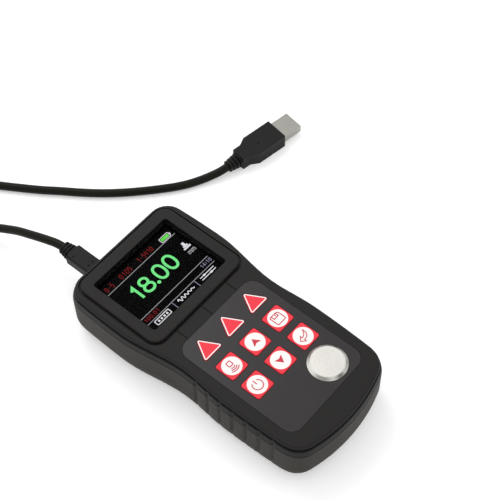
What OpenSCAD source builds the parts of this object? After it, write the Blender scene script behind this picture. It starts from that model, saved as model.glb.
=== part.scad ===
// Handheld ultrasonic thickness gauge with its data cable.
// The case lies on its back: X across, Y along the case with the screen at +Y, Z up from the table.
// The origin is under the middle of the case, on the surface it rests on.

/* [Case] */
// Overall length of the case
case_l = 150; // [148:0.5:158]
// Overall width at the screen end
case_w = 76; // [74:0.5:82]
// Width across the waist between screen and keypad
waist_w = 65; // [63:0.5:67]
// Width across the ribbed grips
grip_w = 68.2; // [66:0.2:70]
// Height of the keypad label above the table
label_z = 30.6; // [30:0.1:33]
// Depth of the parting line below the label
parting_d = 6.8; // [6:0.1:7.2]
// Thickness of the moulded walls
wall = 2.2; // [1.8:0.1:2.6]
// How far the side wall stands out from the face edge
bulge = 1; // [0.6:0.1:1.4]
// Radius of the rounded face edge
edge_r = 1.3; // [0.8:0.1:1.6]
// Depth of the shadow groove under the face edge
shadow_d = 1.3; // [0.9:0.1:1.5]
// Corner radius of the screen end
corner_r = 10; // [8:0.5:12]
// Corner radius of the tail end
tail_r = 11; // [9:0.5:12]
// Radius of the tail end's gentle bow
bow_r = 85; // [75:1:120]
// Width of the rounding from the sides to the back
bilge_w = 5.5; // [4:0.5:7]
// Height of the rounding from the sides to the back
bilge_h = 10; // [8:0.5:12]
// Length of the rounding from the tail end to the back
sweep_l = 11; // [8:0.5:14]

/* [Grip ribs] */
// Number of valleys on each side
rib_n = 7; // [4:1:7]
// Distance from valley to valley
rib_pitch = 7.8; // [7:0.1:7.8]
// Y of the valley nearest the waist
rib_y = -7; // [-9:0.5:-5]
// Depth of each valley
rib_d = 0.9; // [0.4:0.1:1.2]
// Half width of each valley
rib_hw = 1.4; // [1:0.1:1.8]

/* [Screen] */
// Distance of the raised bezel's lower end from the sides of the case
bezel_side = 2.45; // [2.2:0.05:2.8]
// Length of the raised bezel
bezel_l = 53.3; // [52:0.1:54]
// Height of the bezel above the label
bezel_h = 1.4; // [1:0.1:1.8]
// Corner radius of the bezel
bezel_r = 6; // [4:0.5:8]
// Distance of the bezel from the screen end
bezel_margin = 3.7; // [3:0.1:4.5]
// Width of the bezel beside the window
window_side = 5.8; // [5:0.1:6.4]
// Length of the window opening
window_l = 40.7; // [39:0.1:41.5]
// Thickness of the window's lip
lip_t = 1.3; // [1:0.1:1.5]
// Thickness of the clear lens
lens_t = 1.2; // [1:0.1:1.4]
// Width of the lens's glued edge
lens_edge = 1.9; // [1.5:0.1:2]
// Thickness of the foam gasket
gasket_t = 1.8; // [1.4:0.1:2]
// Distance of the display module's lower end from the sides of the case
lcd_side = 5.35; // [5.2:0.05:5.8]
// Length of the display module
lcd_l = 42.7; // [42:0.1:45]
// Thickness of the display module
lcd_t = 2.5; // [2:0.1:2.8]

/* [Keypad] */
// Width of the grey keypad label
label_w = 54.7; // [53:0.1:57]
// Length of the grey keypad label
label_l = 70.7; // [70:0.1:72]
// Corner radius of the label
label_r = 6.5; // [4:0.5:8]
// Gap from the bezel to the label
label_gap = 8.35; // [8:0.05:8.8]
// Thickness of the label
label_t = 0.8; // [0.6:0.1:1]
// Spacing of the key columns
key_dx = 17; // [16:0.1:17.4]
// Spacing of the two square key rows
key_dy = 15.55; // [14.8:0.05:15.8]
// Distance from the label's top to the upper square row
key_row = 25.4; // [25:0.1:26]
// Side of the square keys
key_s = 11.3; // [10:0.1:11.6]
// Corner radius of the square keys
key_r = 1.2; // [0.6:0.1:2]
// Width of the triangular keys
tri_w = 11.3; // [10:0.1:12]
// Length of the triangular keys
tri_l = 10.25; // [9.5:0.05:10.6]
// Corner radius of the triangular keys
tri_r = 0.9; // [0.5:0.1:1.2]
// Distance from the label's top to the triangles' points
tri_row = 4.15; // [3.8:0.05:4.6]
// How far the keys stand above the label
key_proud = 0.25; // [0.1:0.05:0.4]
// Key travel
key_travel = 0.4; // [0.3:0.05:0.45]
// Width of the hidden flange round each key
key_flange = 0.8; // [0.6:0.1:0.9]
// Radius of the steel test disc
disc_r = 9.9; // [9.4:0.1:10.1]
// Height of the test disc above the label
disc_proud = 1.2; // [0.8:0.1:1.3]
// Thickness of the test disc
disc_t = 4; // [3.4:0.1:4.2]
// Width of the chamfer round the test disc
disc_chamfer = 1.5; // [0.8:0.1:1.8]
// Distance of the test disc from the centre line
disc_x = 13; // [12.8:0.1:13.6]
// Distance from the label's top to the test disc
disc_row = 58.8; // [58.6:0.1:59.4]

/* [Power] */
// Diameter of a cell
cell_d = 14.3; // [13.8:0.1:14.5]
// Length of a cell over its button
cell_l = 50.5; // [49.5:0.1:51]
// Thickness of the battery cover
cover_t = 1.8; // [1.5:0.1:2]
// Half width of the battery cover
cover_hw = 17; // [16.8:0.1:17.4]
// Length of the contact springs
spring_l = 4; // [3.5:0.1:4.5]

/* [Electronics] */
// Thickness of the main board
board_t = 1.6; // [1.2:0.1:1.6]
// Half width of the main board
board_hw = 29; // [28.6:0.1:29.6]
// Thickness of the keypad board
pad_t = 1.2; // [1:0.1:1.4]
// Width of the data socket
usb_w = 7.7; // [7.4:0.1:8]
// Height of the data socket
usb_h = 3.9; // [3.8:0.1:4]
// Distance of the data socket from the centre line
usb_x = -14.8; // [-15.4:0.1:-14.2]
// Bore of the probe sockets
probe_bore = 5.2; // [5:0.1:5.4]
// Outside diameter of the probe sockets' barrels
probe_d = 7; // [6.8:0.1:7.4]
// Flange diameter of the probe sockets
probe_flange = 10; // [9.4:0.1:10.4]
// Height of the probe sockets above the table
probe_z = 13.5; // [13:0.1:13.8]
// Distance between the probe sockets
probe_dx = 17; // [16.4:0.1:17.2]

/* [Fasteners] */
// Diameter of the case screws
screw_d = 2.6; // [2.2:0.1:2.8]
// Diameter of the case screws' heads
head_d = 5; // [4.6:0.1:5.2]

/* [Clearances] */
// Clearance of moving pieces
run_gap = 0.3; // [0.25:0.05:0.35]
// Clearance of pieces that are fitted and stay
fit_gap = 0.15; // [0.1:0.05:0.2]

/* [Cable] */
// Diameter of the cable
cord_d = 4.6; // [4.2:0.1:5]
// Radius of the coil at the middle of its turns
coil_r = 23; // [22:0.5:26]

/* [Hidden] */

$fn = 48;
// Small overlap that makes cuts clean
eps = 0.05;

// Plan outline: shoulder half sizes before the side wall stands out
head_hw = case_w / 2 - bulge;
waist_hw = waist_w / 2;
grip_hw = grip_w / 2;
half_l = case_l / 2 - bulge;
// Y of the waist, of the widest place at the screen and of the widest place at the grips
waist_y = 0;
head_y = 38;
grip_y = -25;
// How much the sides draw in towards the two ends
head_taper = 0.9;
tail_taper = 0.8;
taper_l = 30;

function ease(t) = let(c = min(max(t, 0), 1)) c * c * (3 - 2 * c);
function half_width(y) = y > waist_y
    ? waist_hw + (head_hw - waist_hw) * ease((y - waist_y) / (head_y - waist_y))
        - head_taper * pow(max(0, y - head_y) / taper_l, 2)
    : waist_hw + (grip_hw - waist_hw) * ease((waist_y - y) / (waist_y - grip_y))
        - tail_taper * pow(max(0, grip_y - y) / taper_l, 2);

// Centres of the corner arcs; the tail corner is tangent to the bowed end
top_cy = half_l - corner_r;
top_cx = half_width(top_cy) - corner_r;
tail_cx = half_width(tail_r - half_l) - tail_r;
tail_cy = bow_r - half_l - sqrt(pow(bow_r - tail_r, 2) - pow(tail_cx, 2));
bow_a = asin(tail_cx / (bow_r - tail_r));

function rib_at(y) = max([for (k = [0:rib_n - 1]) max(0, 1 - abs(y - rib_y + k * rib_pitch) / rib_hw)]);
// Side stations with a foot, a valley, a foot and a crown for every rib, and plain stations
rib_ys = [for (k = [rib_n - 1:-1:0]) for (s = [-1, 0, 1, 1.6]) rib_y - k * rib_pitch + s * rib_hw];
upper_n = 14;
upper_y = rib_y + 2.4 * rib_hw;
ribbed_ys = concat([tail_cy], rib_ys,
    [for (i = [0:upper_n]) upper_y + (top_cy - upper_y) * i / upper_n]);
plain_n = 14;
plain_ys = [for (i = [0:plain_n]) tail_cy + (top_cy - tail_cy) * i / plain_n];

arc_n = 7;
function right_half(ys) = concat(
    [for (i = [0:arc_n - 1]) let(a = bow_a * i / arc_n) [bow_r * sin(a), bow_r - half_l - bow_r * cos(a)]],
    [for (i = [0:arc_n - 1]) let(a = (90 - bow_a) * i / arc_n - 90 + bow_a)
        [tail_cx + tail_r * cos(a), tail_cy + tail_r * sin(a)]],
    [for (y = ys) [half_width(y), y]],
    [for (i = [1:arc_n]) let(a = 90 * i / arc_n) [top_cx + corner_r * cos(a), top_cy + corner_r * sin(a)]]);
function outline(ys) = let(r = right_half(ys), n = len(r))
    concat(r, [for (i = [n - 1:-1:1]) [-r[i].x, r[i].y]]);
ribbed = outline(ribbed_ys);
plain = outline(plain_ys);

// One level of the case: the outline moved out by s at the sides, t at the screen end, b at the tail
function level(pts, s, t, b, rib = 0) = [for (p = pts)
    [p.x * (1 + s / head_hw) - sign(p.x) * rib * rib_at(p.y), p.y * (1 + (p.y > 0 ? t : b) / half_l)]];
function at_z(pts, z) = [for (p = pts) [p.x, p.y, z]];

// Solid through equal rings of points, lowest ring first; twisted walls are split into triangles
module loft(rings, split = false) {
    n = len(rings[0]);
    m = len(rings);
    function wall_faces(a, b, c, d) = split ? [[a, b, c], [a, c, d]] : [[a, b, c, d]];
    polyhedron(
        points = [for (r = rings) for (p = r) p],
        faces = concat(
            [[for (i = [0:n - 1]) i]],
            [for (j = [0:m - 2]) for (i = [0:n - 1]) let(k = (i + 1) % n)
                each wall_faces(j * n + i, (j + 1) * n + i, (j + 1) * n + k, j * n + k)],
            [[for (i = [n - 1:-1:0]) (m - 1) * n + i]]),
        convexity = 8);
}

// Heights, worked out from the back of the case upwards and from the label downwards
part_z = label_z - parting_d;
cover_gap = 0.2;
channel_h = cover_gap + cover_t + run_gap;
cell_z = channel_h + run_gap + cell_d / 2;
cell_clear = 1.1;
board_z = cell_z + cell_d / 2 + cell_clear;
board_top = board_z + board_t;
bezel_z = label_z + bezel_h;
lens_z = bezel_z - lip_t - lens_t;
lcd_z = lens_z - gasket_t - lcd_t;
seat_z = label_z - label_t;
key_wall = 2.4;
ceiling_z = seat_z - key_wall;

// Places along the case, worked out from the screen end
bezel_y = case_l / 2 - bezel_margin - bezel_l / 2;
label_y1 = bezel_y - bezel_l / 2 - label_gap;
label_y = label_y1 - label_l / 2;
row_y = label_y1 - key_row;
tri_y = label_y1 - tri_row;
disc_y = label_y1 - disc_row;
// The window sits a little towards the screen end of the bezel
window_shift = 0.05;
window_y = bezel_y + window_shift;
bezel_w = 2 * (half_width(bezel_y - bezel_l / 2) - bezel_side);
window_w = bezel_w - 2 * window_side;
lcd_w = 2 * (half_width(window_y - lcd_l / 2) - lcd_side);
window_r = 1.5;
lens_r = 1.8;

// Shadow groove and parting line of the front shell
edge_drop = 0.2;
shadow_z = label_z - edge_r - edge_drop;
shadow_h = 1.5;
shoulder_h = 0.3;
part_chamfer = 0.3;
edge_n = 4;
// Both shells run past the parting plane by this much, along their chamfers, and are cut off there
spare = 0.5;
rim = bulge - part_chamfer - spare;
module beyond_parting(z) { translate([-case_w, -case_l, z]) cube([2 * case_w, 2 * case_l, label_z]); }
front_levels = concat(
    [[rim, part_z - spare, 1], [bulge, part_z + part_chamfer, 1],
     [0.5 * bulge, shadow_z - shadow_h - shoulder_h, 0.8], [-shadow_d, shadow_z - shadow_h, 0.4],
     [-shadow_d, shadow_z, 0]],
    [for (i = [0:edge_n]) let(a = 90 * i / edge_n)
        [-edge_r * (1 - cos(a)), label_z - edge_r * (1 - sin(a)), 0]]);
module front_skin() {
    loft([for (l = front_levels) at_z(level(ribbed, l[0], l[0], l[0], l[2] * rib_d), l[1])]);
}

// Rear shell: upright walls, then quarter ellipses down to the flat back; the ribs fade out in the rounding
belly_z = bilge_h;
top_round = 9;
belly_n = 7;
belly_ts = [for (i = [0:belly_n]) 90 * i / belly_n];
function belly(pts, inset, rib) = [for (t = belly_ts)
    at_z(level(pts,
            bulge - bilge_w * (1 - cos(t)) - inset * cos(t),
            bulge - top_round * (1 - cos(t)) - inset * cos(t),
            bulge - sweep_l * (1 - cos(t)) - inset * cos(t),
            rib * max(0, cos(2 * t))),
        belly_z - (belly_z - inset) * sin(t))];
module rear_skin() {
    rings = belly(ribbed, 0, rib_d);
    loft(concat([for (i = [belly_n:-1:0]) rings[i]],
        [at_z(level(ribbed, bulge, bulge, bulge, rib_d), part_z - part_chamfer),
         at_z(level(ribbed, rim, rim, rim, rib_d), part_z + spare)]));
}
// The room inside the rear shell, moved in from its skin by inset
module rear_room(inset) {
    rings = belly(plain, inset, 0);
    inner = bulge - inset;
    loft(concat([for (i = [belly_n:-1:0]) rings[i]],
        [at_z(level(plain, inner, inner, inner), part_z + 2 * spare)]));
}

// Flat shapes with true arcs
module round_rect(w, l, r) {
    square([w - 2 * r, l], center = true);
    square([w, l - 2 * r], center = true);
    for (x = [-1, 1]) for (y = [-1, 1]) translate([x * (w / 2 - r), y * (l / 2 - r)]) circle(r);
}
module plate(w, l, h, r) { linear_extrude(h) round_rect(w, l, r); }
module frame(w, l, h, r, iw, il, ir) {
    linear_extrude(h) difference() {
        round_rect(w, l, r);
        round_rect(iw, il, ir);
    }
}
module case_plan(inset, z0, z1) {
    translate([0, 0, z0]) linear_extrude(z1 - z0) polygon(level(plain, -inset, -inset, -inset));
}
// A cylinder along +Y from the place given
module rod_y(d, l) { rotate([-90, 0, 0]) cylinder(d = d, h = l); }

// Screw posts: two by the screen end, two by the tail
screw_top = [27, case_l / 2 - 5.2];
screw_tail = [23, 17 - case_l / 2];
screw_spots = [for (s = [-1, 1]) for (p = [screw_top, screw_tail]) [s * p.x, p.y]];
post_d = head_d + 2;
screw_hole = screw_d + 2 * fit_gap;
head_h = 1.8;
seat_h = 12;
screw_reach = 3;
stud_d = 5;
board_screw_d = 2;
board_screw_l = 4;
board_head_h = 1.4;
screw_end = 1;

// Battery bay between the two end walls
bay_side = 1;
bay_hw = cell_d + bay_side;
cell_x = cell_d / 2 + run_gap;
contact_t = 0.4;
bay_y1 = 16.5;
bay_l = cell_l + spring_l + 2 * contact_t + fit_gap;
bay_y0 = bay_y1 - bay_l;
cell_gap = fit_gap / 2;
cover_y1 = bay_y1 + wall;
tongue_w = 1.2;
tongue_t = 0.9;
// The cover's channel runs out through the tail end
channel_y0 = -case_l / 2 - eps;

// Data socket opening and probe sockets in the screen end
end_y = case_l / 2;
usb_z = board_top + usb_h / 2;
usb_mouth = end_y - 0.6;
usb_l = 8.2;
probe_xs = [probe_dx, 0];
probe_hole = probe_d + 2 * fit_gap;
// The flanges lie flush with the end of the case
flange_t = bulge;
barrel_in = 8;
probe_pad = probe_flange + 1;
seat_y = end_y - flange_t;
nut_y = seat_y - wall;
nut_t = 2;
bore_l = 7;
core_d = probe_bore - 0.6;
core_gap = 0.05;
insulator_l = wall + barrel_in + flange_t - bore_l;
module data_opening() {
    translate([usb_x, end_y, usb_z])
        cube([usb_w + 2 * fit_gap, 4 * wall + 2 * bulge, usb_h + 2 * fit_gap], center = true);
}
// Flat seats for the probe sockets: the flanges outside, the nuts inside
module probe_seats() {
    for (x = probe_xs) translate([x, seat_y, probe_z]) {
        rod_y(probe_pad, 2 * flange_t);
        translate([0, -2 * wall, 0]) rod_y(probe_hole, 4 * wall);
        translate([0, -wall - 2 * nut_t, 0]) rod_y(probe_flange, 2 * nut_t);
    }
}

// Keys: kind, column, distance of the row's reference below the label's top
soft_shape = "triangle";
square_shape = "square";
corner_n = 6;
module triangle(grow) {
    // Pointed towards the screen, its rounded point at the origin, moved out all round by grow
    foot = tri_w / 2 - tri_r;
    lean = atan2(foot, tri_l - 2 * tri_r);
    // Corner arcs: centre, then first and last angle
    corners = [[foot, tri_r - tri_l, -90, lean], [0, -tri_r, lean, 180 - lean],
        [-foot, tri_r - tri_l, 180 - lean, 270]];
    polygon([for (c = corners) for (i = [0:corner_n]) let(a = c[2] + (c[3] - c[2]) * i / corner_n)
        [c[0], c[1]] + (tri_r + grow) * [cos(a), sin(a)]]);
}
module key_outline(shape, grow = 0) {
    if (shape == soft_shape) triangle(grow);
    else round_rect(key_s + 2 * grow, key_s + 2 * grow, key_r + grow);
}
key_spots = concat(
    [for (c = [-1:1]) [soft_shape, c * key_dx, tri_y]],
    [for (r = [0:1]) for (c = [-1:1]) [square_shape, c * key_dx, row_y - r * key_dy]]);
function key_centre(k) = [k[1], k[0] == soft_shape ? k[2] - tri_l * 0.6 : k[2]];
key_flange_t = 0.9;
crown = 0.1;
plunger_d = 3;
dome_d = 6;
dome_h = 0.5;
dome_gap = 0.1;
module key(i) {
    k = key_spots[i];
    c = key_centre(k);
    plunger_z = ceiling_z + dome_h + key_travel + dome_gap;
    translate([k[1], k[2], seat_z - key_flange_t]) linear_extrude(key_flange_t) key_outline(k[0], key_flange);
    translate([k[1], k[2], seat_z - eps]) {
        linear_extrude(label_t + key_proud - crown + eps) key_outline(k[0]);
        linear_extrude(label_t + key_proud + eps) key_outline(k[0], -crown);
    }
    translate([c.x, c.y, plunger_z]) cylinder(d = plunger_d, h = seat_z - key_flange_t + eps - plunger_z);
}

// Pieces of the case
cup_r = disc_r + wall;
disc_seat = label_z + disc_proud - disc_t;
groove_w = 1.1;
groove_d = 1;
slot_w = 0.8;
slot_d = 0.4;
slot_dx = key_dx + 0.9;
slot_shift = -1.2;
bezel_edge = 0.8;
bezel_n = 3;
function rect_ring(w, l, r, z) = [for (q = [0:3]) for (i = [0:corner_n])
    let(a = 90 * (q + i / corner_n), sx = q == 0 || q == 3 ? 1 : -1, sy = q < 2 ? 1 : -1)
        [sx * (w / 2 - r) + r * cos(a), sy * (l / 2 - r) + r * sin(a), z]];
module bezel_skin() {
    edge = [for (i = [0:bezel_n]) let(a = 90 * i / bezel_n)
        [bezel_edge * (1 - cos(a)), bezel_z - bezel_edge * (1 - sin(a))]];
    translate([0, bezel_y, 0]) loft(concat([rect_ring(bezel_w, bezel_l, bezel_r, label_z - 2 * groove_d)],
        [for (e = edge) rect_ring(bezel_w - 2 * e[0], bezel_l - 2 * e[0], bezel_r - e[0], e[1])]));
}
module front_bosses() {
    for (p = screw_spots) translate([p.x, p.y, part_z - spare])
        cylinder(d = post_d - 1, h = seat_z - part_z + spare);
    translate([disc_x, disc_y, disc_seat - wall]) cylinder(r = cup_r, h = ceiling_z + eps - disc_seat + wall);
}
module front_case() {
    color([0.16, 0.155, 0.155]) difference() {
        union() {
            difference() {
                union() {
                    difference() {
                        front_skin();
                        translate([0, bezel_y, label_z - groove_d])
                            plate(bezel_w + 2 * groove_w, bezel_l + 2 * groove_w, 2 * groove_d,
                                bezel_r + groove_w);
                    }
                    bezel_skin();
                }
                // Room under the keypad, then the higher room under the screen
                intersection() {
                    case_plan(wall + shadow_d, part_z - 2 * spare, ceiling_z);
                    translate([0, label_y1 + label_gap / 2 - case_l / 2, 0])
                        cube([case_w, case_l, 3 * label_z], center = true);
                }
                intersection() {
                    case_plan(wall + shadow_d, part_z - 2 * spare, label_z - wall);
                    translate([0, label_y1 + label_gap / 2 + case_l / 2 - eps, 0])
                        cube([case_w, case_l, 3 * label_z], center = true);
                }
            }
            intersection() {
                front_bosses();
                case_plan(shadow_d + wall / 2, part_z - spare, label_z);
            }
        }
        beyond_parting(part_z - label_z);
        // Window, lens pocket and label seat
        translate([0, window_y, part_z]) plate(window_w, window_l, label_z, window_r);
        translate([0, window_y, part_z - eps])
            plate(window_w + 2 * lens_edge + 2 * fit_gap, window_l + 2 * lens_edge + 2 * fit_gap,
                bezel_z - lip_t - part_z + eps, lens_r + fit_gap);
        translate([0, label_y, seat_z])
            plate(label_w + 2 * fit_gap, label_l + 2 * fit_gap, 2 * label_t, label_r + fit_gap);
        for (k = key_spots) translate([k[1], k[2], part_z])
            linear_extrude(label_z - part_z) key_outline(k[0], key_flange + run_gap);
        translate([disc_x, disc_y, disc_seat]) cylinder(r = disc_r + fit_gap, h = label_z);
        // Three short grooves that lead from the screen to the triangular keys
        for (c = [-1:1]) translate([c * slot_dx + slot_shift, label_y1 + label_gap / 2, label_z])
            cube([slot_w, label_gap, 2 * slot_d], center = true);
        for (p = screw_spots) translate([p.x, p.y, part_z - eps])
            cylinder(d = screw_hole, h = screw_reach + 0.5);
        data_opening();
    }
}
module channel() {
    l = cover_y1 + run_gap - channel_y0;
    w = cover_hw + run_gap;
    translate([-w, channel_y0, -1]) cube([2 * w, l, channel_h + 1]);
    translate([-w - tongue_w, channel_y0, channel_h - tongue_t - 2 * run_gap])
        cube([2 * (w + tongue_w), l, tongue_t + 2 * run_gap]);
}
// Bay walls, floor under the board and posts, kept inside the rear shell
module rear_bosses() {
    intersection() {
        union() {
            translate([-bay_hw - wall, bay_y0 - wall, 0])
                cube([2 * (bay_hw + wall), bay_l + 2 * wall, board_z]);
            translate([-cover_hw - tongue_w - wall, channel_y0, 0])
                cube([2 * (cover_hw + tongue_w + wall), cover_y1 + wall - channel_y0, channel_h + wall / 2]);
            for (p = screw_spots) translate([p.x, p.y, 0]) cylinder(d = post_d, h = part_z + spare);
            for (p = board_spots) translate([p.x, p.y, 0]) cylinder(d = stud_d, h = board_z);
            for (x = probe_xs) translate([x, nut_y, probe_z]) rod_y(probe_pad, wall);
        }
        rear_room(wall / 2);
    }
}
module rear_case() {
    lip_gap = wall + shadow_d + fit_gap;
    lip_h = 1.2;
    rim_t = 0.8;
    ledge_h = 2.5;
    ledge_root = 0.4;
    ledge_drop = 0.2;
    color([0.165, 0.16, 0.155]) difference() {
        union() {
            difference() {
                union() {
                    difference() {
                        rear_skin();
                        rear_room(wall);
                    }
                    rear_bosses();
                }
                beyond_parting(part_z);
            }
            // Lip that keys the two shells together, on a ledge round the inside of the wall
            difference() {
                union() {
                    case_plan(wall - bulge - ledge_root, part_z - ledge_h, part_z - ledge_drop);
                    case_plan(lip_gap, part_z - ledge_h, part_z + lip_h);
                }
                case_plan(lip_gap + rim_t, part_z - 2 * ledge_h, part_z + 2 * lip_h);
                for (p = screw_spots) translate([p.x, p.y, part_z]) cylinder(d = post_d, h = 2 * lip_h);
                translate([usb_x - usb_w / 2 - 1, half_l - 3 * wall, board_z])
                    cube([usb_w + 2, 4 * wall, label_z]);
            }
        }
        channel();
        translate([-bay_hw, bay_y0, -1]) cube([2 * bay_hw, bay_l, board_z + 2]);
        for (p = screw_spots) translate([p.x, p.y, -1]) {
            cylinder(d = screw_hole, h = part_z + 2);
            cylinder(d = head_d + 2 * fit_gap, h = seat_h + 1);
        }
        for (p = board_spots) translate([p.x, p.y, board_z - board_screw_l - screw_end])
            cylinder(d = board_screw_d + 2 * fit_gap, h = board_screw_l + 2 * screw_end);
        data_opening();
        probe_seats();
    }
}
module battery_cover() {
    grip_y = cover_y1 - 8;
    grip_n = 5;
    grip = [16, 1, 1];
    tongue_y0 = sweep_l + wall - case_l / 2;
    color([0.17, 0.165, 0.16]) difference() {
        union() {
            // The plate ends flush with the rounded tail of the shell
            intersection() {
                translate([-cover_hw, channel_y0, cover_gap])
                    cube([2 * cover_hw, cover_y1 - channel_y0, cover_t]);
                rear_room(0);
            }
            translate([-cover_hw - tongue_w, tongue_y0, cover_gap + cover_t - tongue_t])
                cube([2 * (cover_hw + tongue_w), cover_y1 - tongue_y0, tongue_t]);
        }
        // Thumb grip: short grooves across the cover
        for (i = [0:grip_n - 1]) translate([0, grip_y - 2.5 * grip.y * i, cover_gap])
            cube(grip, center = true);
    }
}
module case_screws() {
    color([0.55, 0.55, 0.56]) for (p = screw_spots) translate([p.x, p.y, seat_h]) {
        cylinder(d = screw_d, h = part_z - seat_h + screw_reach);
        difference() {
            translate([0, 0, -head_h]) cylinder(d = head_d, h = head_h);
            for (a = [0, 90]) rotate(a) translate([0, 0, -head_h]) cube([3, 0.7, 1.6], center = true);
        }
    }
}

// Screen
module display_lens() {
    color([0.05, 0.05, 0.06]) translate([0, window_y, lens_z])
        plate(window_w + 2 * lens_edge, window_l + 2 * lens_edge, lens_t, lens_r);
}
module display_gasket() {
    color([0.1, 0.1, 0.1]) translate([0, window_y, lens_z - gasket_t])
        frame(window_w + 2 * lens_edge, lcd_l, gasket_t, lens_r, window_w - 1, window_l - 1, 1);
}
module display_panel() {
    color([0.02, 0.02, 0.03]) translate([0, window_y, lcd_z]) plate(lcd_w, lcd_l, lcd_t, 0.8);
}
module display_holder() {
    color([0.85, 0.85, 0.83]) translate([0, window_y, board_top])
        frame(lcd_w, lcd_l, lcd_z - board_top, 0.8, lcd_w - 3, lcd_l - 3, 0.5);
}

// Keypad
module keypad_label() {
    color([0.27, 0.25, 0.27]) difference() {
        translate([0, label_y, seat_z]) plate(label_w, label_l, label_t, label_r);
        for (k = key_spots) translate([k[1], k[2], seat_z - 1]) linear_extrude(label_t + 2)
            key_outline(k[0], run_gap);
        translate([disc_x, disc_y, seat_z - 1]) cylinder(r = disc_r + fit_gap, h = label_t + 2);
    }
}
module soft_key_left() { color([0.86, 0.12, 0.18]) key(0); }
module soft_key_middle() { color([0.86, 0.12, 0.18]) key(1); }
module soft_key_right() { color([0.86, 0.12, 0.18]) key(2); }
module probe_key() { color([0.86, 0.12, 0.18]) key(3); }
module up_key() { color([0.86, 0.12, 0.18]) key(4); }
module save_key() { color([0.86, 0.12, 0.18]) key(5); }
module power_key() { color([0.86, 0.12, 0.18]) key(6); }
module down_key() { color([0.86, 0.12, 0.18]) key(7); }
module enter_key() { color([0.86, 0.12, 0.18]) key(8); }
pad_y1 = tri_y + 2.5;
pad_y0 = disc_y + cup_r + fit_gap;
header_y = row_y + key_dy / 2;
header_l = 20;
header_w = 2.5;
module keypad_board() {
    color([0.1, 0.35, 0.2]) translate([-label_w / 2 + 2, pad_y0, ceiling_z - pad_t])
        cube([label_w - 4, pad_y1 - pad_y0, pad_t]);
}
module snap_domes() {
    color([0.8, 0.78, 0.7]) for (k = key_spots) let(c = key_centre(k)) translate([c.x, c.y, ceiling_z])
        rotate_extrude()
            polygon([[0, 0], [dome_d / 2, 0], [dome_d / 2 - 0.4, 0.2], [plunger_d / 2, dome_h], [0, dome_h]]);
}
module keypad_header() {
    color([0.1, 0.1, 0.1]) translate([-header_l / 2, header_y - header_w / 2, board_top])
        cube([header_l, header_w, ceiling_z - pad_t - board_top]);
}
module test_disc() {
    top = disc_t;
    color([0.78, 0.78, 0.75]) translate([disc_x, disc_y, disc_seat]) rotate_extrude()
        polygon([[0, 0], [disc_r - 0.3, 0], [disc_r, 0.3], [disc_r, top - 0.8 * disc_chamfer],
            [disc_r - disc_chamfer, top], [0, top]]);
}

// Electronics
board_tail = 35;
board_y0 = board_tail - case_l / 2;
board_y1 = window_y + lcd_l / 2;
// Board screws: two by the board's tail end, two inside the display holder
tail_inset = [4, 8];
holder_inset = [5.2, 18];
board_screws_at = [[board_hw - tail_inset.x, board_y0 + tail_inset.y],
    [lcd_w / 2 - holder_inset.x, board_y1 - holder_inset.y]];
board_spots = [for (s = [-1, 1]) for (p = board_screws_at) [s * p.x, p.y]];
tab_hw = 9;
module main_board() {
    color([0.08, 0.33, 0.2]) difference() {
        union() {
            translate([-board_hw, board_y0, board_z]) cube([2 * board_hw, board_y1 - board_y0, board_t]);
            translate([usb_x - tab_hw + 1, board_y1 - 1, board_z])
                cube([2 * tab_hw, usb_mouth - wall - board_y1, board_t]);
        }
        for (p = board_spots) translate([p.x, p.y, board_z - 1])
            cylinder(d = board_screw_d + 2 * fit_gap, h = board_t + 2);
    }
}
// Chips on the board: middle, then width, length and height
chips = [[-14, 10, 14, 14, 1.6], [12, 12, 10, 8, 1.2], [17, -4, 9, 9, 1.4], [-17, -22, 12, 8, 2.2],
    [5, -24, 8, 10, 1.8], [19, -24, 7, 7, 3], [0, 40, 16, 12, 1.6], [-16, 52, 9, 6, 1.2]];
module board_chips() {
    color([0.07, 0.07, 0.08]) for (c = chips) translate([c[0] - c[2] / 2, c[1] - c[3] / 2, board_top])
        cube([c[2], c[3], c[4]]);
}
module board_screws() {
    color([0.7, 0.7, 0.7]) for (p = board_spots) translate([p.x, p.y, board_top]) {
        translate([0, 0, -board_t - board_screw_l])
            cylinder(d = board_screw_d, h = board_t + board_screw_l + eps);
        cylinder(d = 2 * board_screw_d, h = board_head_h);
    }
}
module data_socket() {
    color([0.75, 0.75, 0.74]) difference() {
        translate([usb_x - usb_w / 2, usb_mouth - usb_l, board_top]) cube([usb_w, usb_l, usb_h]);
        translate([usb_x - mini_w / 2 - fit_gap, usb_mouth - usb_l + 1, usb_z - mini_h / 2 - fit_gap])
            cube([mini_w + 2 * fit_gap, usb_l, mini_h + 2 * fit_gap]);
    }
}
module probe_socket(x) {
    // Flanged sleeve: a wide bore for the probe's plug, and a narrower one behind it for the insulator
    color([0.72, 0.7, 0.66]) translate([x, seat_y, probe_z]) difference() {
        union() {
            rod_y(probe_flange, flange_t);
            translate([0, -wall - barrel_in, 0]) rod_y(probe_d, wall + barrel_in + eps);
        }
        translate([0, flange_t - bore_l, 0]) rod_y(probe_bore, bore_l + 1);
        translate([0, -wall - barrel_in - 1, 0]) rod_y(core_d, wall + barrel_in + 2);
    }
}
module probe_socket_left() { probe_socket(probe_xs[1]); }
module probe_socket_right() { probe_socket(probe_xs[0]); }
contact_d = 1;
module socket_insulators() {
    color([0.92, 0.92, 0.9]) for (x = probe_xs) translate([x, nut_y - barrel_in, probe_z]) difference() {
        rod_y(core_d - 2 * core_gap, insulator_l);
        translate([0, -1, 0]) rod_y(contact_d + 2 * core_gap, insulator_l + 2);
    }
}
module socket_contacts() {
    color([0.8, 0.65, 0.3]) for (x = probe_xs) translate([x, nut_y - barrel_in - 3, probe_z])
        rod_y(contact_d, insulator_l + 3);
}
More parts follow.
